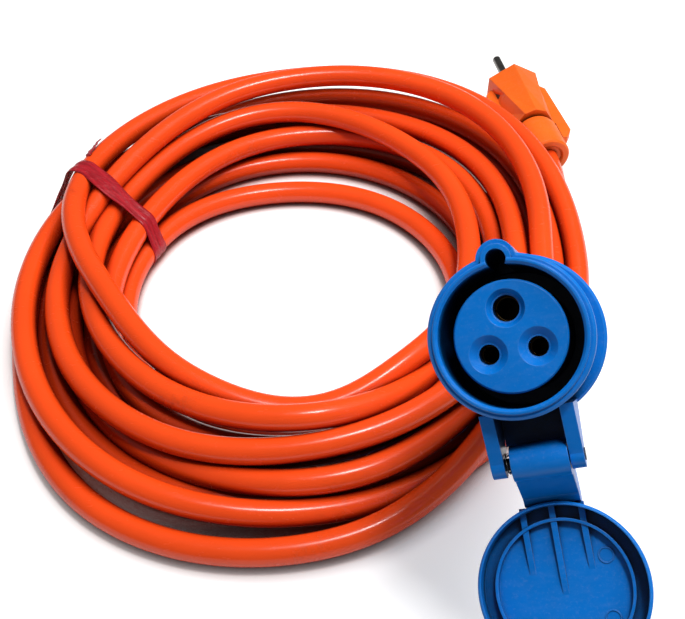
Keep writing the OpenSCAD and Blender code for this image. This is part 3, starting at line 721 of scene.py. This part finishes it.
class CORD_OT_set_stage(bpy.types.Operator):
    """Makes the camera, the floor and the lights"""

    bl_idname = "cord.set_stage"
    bl_label = "Set Stage"

    def execute(self, context):
        settings = context.scene.cord_stage
        context.scene.view_settings.view_transform = "Standard"
        self.make_camera(context.scene)
        self.make_floor(context.scene, settings)
        self.make_world(context.scene, settings)
        self.make_lamps(context.scene, settings)
        return {"FINISHED"}

    def make_camera(self, scene):
        lens = bpy.data.cameras.new("camera")
        lens.sensor_fit = "HORIZONTAL"
        lens.sensor_width = 36
        lens.lens = lens.sensor_width * FOCAL_PIXELS / IMAGE_WIDTH
        lens.clip_start = 0.02
        made = bpy.data.objects.new("camera", lens)
        made.location = CAMERA_SPOT
        made.rotation_euler = (math.pi / 2 - CAMERA_DOWN, 0, 0)
        scene.collection.objects.link(made)
        scene.camera = made

    def make_floor(self, scene, settings):
        half = settings.floor_size / 2
        depth = 0.2 * MM
        mesh = bpy.data.meshes.new("floor")
        corners = [(-half, -half, 0), (half, -half, 0), (half, half, 0), (-half, half, 0)]
        mesh.from_pydata(corners, [], [(0, 1, 2, 3)])
        mesh.materials.append(floor_material())
        made = bpy.data.objects.new("floor", mesh)
        made.location.z = -depth
        scene.collection.objects.link(made)

    def make_world(self, scene, settings):
        warm_white = (1.0, 0.975, 0.96, 1.0)
        world = bpy.data.worlds.new("studio")
        world.use_nodes = True
        scene.world = world
        tree = world.node_tree
        ray = place(tree, "ShaderNodeLightPath").outputs
        seen = math_of(tree, "MAXIMUM", ray["Is Camera Ray"], ray["Is Transmission Ray"])
        strength = between(tree, seen, 0.0, 1.0, settings.sky, 1.0)
        sky = tree.nodes["Background"]
        sky.inputs["Color"].default_value = warm_white
        tree.links.new(strength, sky.inputs["Strength"])

    def make_lamps(self, scene, settings):
        target = Vector((0, 0, 0.03))
        overhead_spot, overhead_size = Vector((0.4, 0.22, 1.05)), 0.9
        key_spot, key_size = Vector((0.15, -0.1, 1.1)), 0.16
        overhead = self.add_lamp(scene, "overhead", overhead_spot, target, overhead_size, settings.overhead)
        overhead.visible_glossy = False
        self.add_lamp(scene, "key", key_spot, target, key_size, settings.key)

    def add_lamp(self, scene, name, spot, target, size, power):
        lamp = bpy.data.lights.new(name, "AREA")
        lamp.size = size
        lamp.energy = power
        made = bpy.data.objects.new(name, lamp)
        made.location = spot
        made.rotation_euler = (target - spot).to_track_quat("-Z", "Y").to_euler()
        scene.collection.objects.link(made)
        return made


class CORD_OT_lay_cable(bpy.types.Operator):
    """Lays the cable in its coil, from the connector's gland to the plug"""

    bl_idname = "cord.lay_cable"
    bl_label = "Lay Cable"

    def execute(self, context):
        settings = context.scene.cord_cable
        points, along = centre_line(settings.diameter, settings.ring_step)
        tucked = 8 * MM
        ends = [points[0] + np.array(CONNECTOR_WAY) * tucked, points[-1] + np.array(PLUG_WAY) * tucked]
        points = np.vstack([ends[:1], points, ends[1:]])
        along = np.concatenate([[-tucked], along, [along[-1] + tucked]])
        mesh = tube_mesh("cable", points, along, settings.diameter / 2, settings.sides)
        cable = add_piece("cable", mesh, sheath_material(settings.colour), "cord")
        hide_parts("cord_coil", "connector_lead", "plug_lead")
        return {"FINISHED"}


def strands_at(angle, cable):
    """Radius and height of each strand where the laid cable crosses an angle round the coil's middle."""
    points = centre_line(cable.diameter, cable.ring_step)[0] - COIL_MIDDLE * MM
    turned = np.angle(np.exp(1j * (np.arctan2(points[:, 1], points[:, 0]) - angle)))
    this_side = np.abs(turned[:-1]) < 1
    crossing = np.nonzero((turned[:-1] < 0) & (turned[1:] >= 0) & this_side)[0]
    radii = np.hypot(points[:, 0], points[:, 1])
    return [(radii[i], points[i, 2]) for i in crossing]


def film_mesh(name, strips):
    """One mesh of strips of film, each given as a grid of points and whether its ends join."""
    corners, faces, marks = [], [], []
    for grid, joined in strips:
        first = len(corners)
        count, across = grid.shape[:2]
        corners += grid.reshape(-1, 3).tolist()
        for i in range(count if joined else count - 1):
            for k in range(across - 1):
                a = first + i * across + k
                b = first + (i + 1) % count * across + k
                faces.append((a, a + 1, b + 1, b))
                low, high = i / count, (i + 1) / count
                near, far = k / (across - 1), (k + 1) / (across - 1)
                marks += [(low, near), (low, far), (high, far), (high, near)]
    return marked_mesh(name, corners, faces, marks)


def hull_of(points):
    """Convex outline of points in a plane, anticlockwise."""

    def half(ordered):
        out = []
        for p in ordered:
            while len(out) > 1 and np.cross(out[-1] - out[-2], p - out[-2]) <= 0:
                out.pop()
            out.append(p)
        return out[:-1]

    ordered = sorted(map(np.array, points), key=lambda p: (p[0], p[1]))
    return np.array(half(ordered) + half(ordered[::-1]))


class CORD_OT_wrap_tie(bpy.types.Operator):
    """Wraps the film band round the coil"""

    bl_idname = "cord.wrap_tie"
    bl_label = "Wrap Tie"

    def execute(self, context):
        settings, cable = context.scene.cord_tie, context.scene.cord_cable
        mesh = film_mesh("tie", ((self.band(settings, cable), True), (self.tail(settings, cable), False)))
        tie = add_piece("tie", mesh, film_material(settings.colour), "cord")
        film = tie.modifiers.new("film", "SOLIDIFY")
        film.thickness = settings.thickness
        film.offset = 1
        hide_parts("coil_tie")
        return {"FINISHED"}

    def outline(self, settings, cable):
        """Taut line round the strands, as evenly spaced radii and heights."""
        steps, strand_corners = 140, 48
        slack = 0.1 * MM
        turn = np.linspace(0, 2 * np.pi, strand_corners, endpoint=False)
        wrap = cable.diameter / 2 + slack
        edge = settings.width / 2 / TIE_RADIUS
        circles = []
        for side in (-edge, 0, edge):
            high = np.array(strands_at(settings.angle + side, cable))
            low = np.array(strands_at(settings.angle + side + settings.lean, cable))
            lowness = 1 - high[:, 1:] / high[:, 1].max()
            for r, z in high + (low - high) * lowness:
                circles += [(r + wrap * math.cos(a), z + wrap * math.sin(a)) for a in turn]
        hull = hull_of(circles)
        closed = np.vstack([hull, hull[:1]])
        along = np.concatenate([[0], np.cumsum(np.linalg.norm(np.diff(closed, axis=0), axis=1))])
        at = np.linspace(0, along[-1], steps, endpoint=False)
        return np.stack([np.interp(at, along, closed[:, axis]) for axis in range(2)], 1)

    def band(self, settings, cable):
        """Points of the closed band, gathered and creased along its length."""
        across = 9
        least_height = 0.05 * MM
        crease_depth, folds = 0.2 * MM, 14
        mean_gather, slow_gather, quick_gather = 0.84, 0.12, 0.05
        outline = self.outline(settings, cable)
        centre, top = outline.mean(0), outline[:, 1].max()
        grid = np.zeros((len(outline), across, 3))
        for i, spot in enumerate(outline):
            turn = 2 * math.pi * i / len(outline)
            gather = mean_gather + slow_gather * math.sin(3 * turn + 1.0) + quick_gather * math.sin(7 * turn)
            angle = settings.angle + settings.lean * (1 - spot[1] / top)
            radial = np.array((math.cos(angle), math.sin(angle), 0))
            tangent = np.array((-math.sin(angle), math.cos(angle), 0))
            for k in range(across):
                u = k / (across - 1) - 0.5
                crease = crease_depth * (1 + math.sin(folds * u + 5 * math.sin(2 * turn)))
                r, z = spot + unit(spot - centre) * crease
                grid[i, k] = radial * r + tangent * u * gather * settings.width
                grid[i, k, 2] = max(z, least_height)
        return grid + COIL_MIDDLE * MM

    def tail(self, settings, cable):
        """Points of the loose end, which lies along the outermost strand of the top layer."""
        steps, across = 16, 5
        start_width, end_width = 4.0 * MM, 2.0 * MM
        start_side, end_side = math.radians(80), math.radians(58)
        lift, curl = 0.5 * MM, 0.7 * MM
        top_layer = 1.5 * cable.diameter
        grid = np.zeros((steps, across, 3))
        for j in range(steps):
            share = j / (steps - 1)
            angle = settings.angle - share * settings.tail / TIE_RADIUS
            r, z = max(spot for spot in strands_at(angle, cable) if spot[1] > top_layer)
            side = start_side + (end_side - start_side) * share
            off = cable.diameter / 2 + lift + curl * share**3
            width = start_width + (end_width - start_width) * share
            for k in range(across):
                turned = side + (k / (across - 1) - 0.5) * width / off
                reached = r + off * math.cos(turned)
                height = z + off * math.sin(turned)
                grid[j, k] = (reached * math.cos(angle), reached * math.sin(angle), height)
        return grid + COIL_MIDDLE * MM


class CORD_OT_finish_connector(bpy.types.Operator):
    """Finishes the connector's shells, its lid, and the metal and rubber inside"""

    bl_idname = "cord.finish_connector"
    bl_label = "Finish Connector"

    def execute(self, context):
        settings = context.scene.cord_connector
        # On the blue mouldings the strong edge lightening is a painted edge highlight, and the long reach
        # paints deep shade into the mouth's slot and holes
        blue = moulding(
            "blue_plastic", settings.colour, gloss=0.3, edge_radius=settings.edge_radius,
            grain_depth=0.03 * MM, wear_and_highlight=0.3, hollow_reach=28 * MM,
        )
        # The brass colour is darkened as painted shade, for contacts that sit deep inside the connector
        brass = metal(
            "brass", (0.40, 0.27, 0.11), gloss=0.32, tarnish=(0.16, 0.10, 0.05), tarnish_share=0.7,
        )
        # The steel colour is kept dark as painted shade, for the hinge spring and pin in the hinge gap
        steel = metal(
            "steel", (0.20, 0.20, 0.21), gloss=0.3, tarnish=(0.10, 0.10, 0.09), tarnish_share=0.5,
        )
        finish_nodes(BLUE_NODES, blue)
        finish_nodes(BRASS_NODES, brass)
        finish_nodes(STEEL_NODES, steel)
        finish_nodes(["gland_seal"], rubber_material())
        colours = {"earth": (0.22, 0.42, 0.05), "line": (0.13, 0.05, 0.02), "neutral": (0.03, 0.11, 0.42)}
        for part, nodes in CORES.items():
            finish_nodes(nodes, core_material(part, colours[part]))
        return {"FINISHED"}


class CORD_OT_finish_plug(bpy.types.Operator):
    """Finishes the plug's moulding, pins and clips"""

    bl_idname = "cord.finish_plug"
    bl_label = "Finish Plug"

    def execute(self, context):
        settings = context.scene.cord_plug
        orange = moulding(
            "orange_plug", settings.colour, gloss=0.42, edge_radius=settings.edge_radius,
            grain_depth=0.05 * MM, wear_and_highlight=0.1, hollow_reach=9 * MM,
        )
        dark = moulding(
            "dark_plastic", (0.02, 0.02, 0.02), gloss=0.4, edge_radius=0.3 * MM,
            grain_depth=0.03 * MM, wear_and_highlight=0.1, hollow_reach=5 * MM,
        )
        pins = metal(
            "plated_pin", (0.30, 0.29, 0.28), gloss=0.3, tarnish=(0.16, 0.15, 0.14), tarnish_share=0.7,
        )
        clips = metal(
            "spring_steel", (0.14, 0.14, 0.14), gloss=0.36, tarnish=(0.08, 0.08, 0.08), tarnish_share=0.7,
        )
        finish_nodes(PLUG_NODES, orange)
        finish_nodes(["plug_bridge"], dark)
        finish_nodes(PIN_NODES, pins)
        finish_nodes(["plug_earth_clips"], clips)
        return {"FINISHED"}


class CORD_PT_panel(bpy.types.Panel):
    """Lists the cord's pieces and their settings"""

    bl_label = "Shore Power Cord"
    bl_idname = "CORD_PT_panel"
    bl_space_type = "VIEW_3D"
    bl_region_type = "UI"
    bl_category = "Cord"

    def draw(self, context):
        for operator, settings in STEPS:
            box = self.layout.box()
            box.operator(operator.bl_idname)
            group = getattr(context.scene, settings)
            for name in group.__annotations__:
                box.prop(group, name)


# Operators in the order that they run, each with the settings that it reads
STEPS = (
    (CORD_OT_set_stage, "cord_stage"),
    (CORD_OT_lay_cable, "cord_cable"),
    (CORD_OT_wrap_tie, "cord_tie"),
    (CORD_OT_finish_connector, "cord_connector"),
    (CORD_OT_finish_plug, "cord_plug"),
)
SETTINGS = {
    "cord_stage": StageSettings,
    "cord_cable": CableSettings,
    "cord_tie": TieSettings,
    "cord_connector": ConnectorSettings,
    "cord_plug": PlugSettings,
}
CLASSES = tuple(SETTINGS.values()) + tuple(operator for operator, _ in STEPS) + (CORD_PT_panel,)


def register():
    for made in CLASSES:
        bpy.utils.register_class(made)
    for name, kind in SETTINGS.items():
        setattr(bpy.types.Scene, name, PointerProperty(type=kind))


def unregister():
    for name in SETTINGS:
        delattr(bpy.types.Scene, name)
    for made in reversed(CLASSES):
        bpy.utils.unregister_class(made)


def main():
    register()
    bpy.ops.cord.set_stage()
    bpy.ops.cord.lay_cable()
    bpy.ops.cord.wrap_tie()
    bpy.ops.cord.finish_connector()
    bpy.ops.cord.finish_plug()


if __name__ == "__main__":
    main()
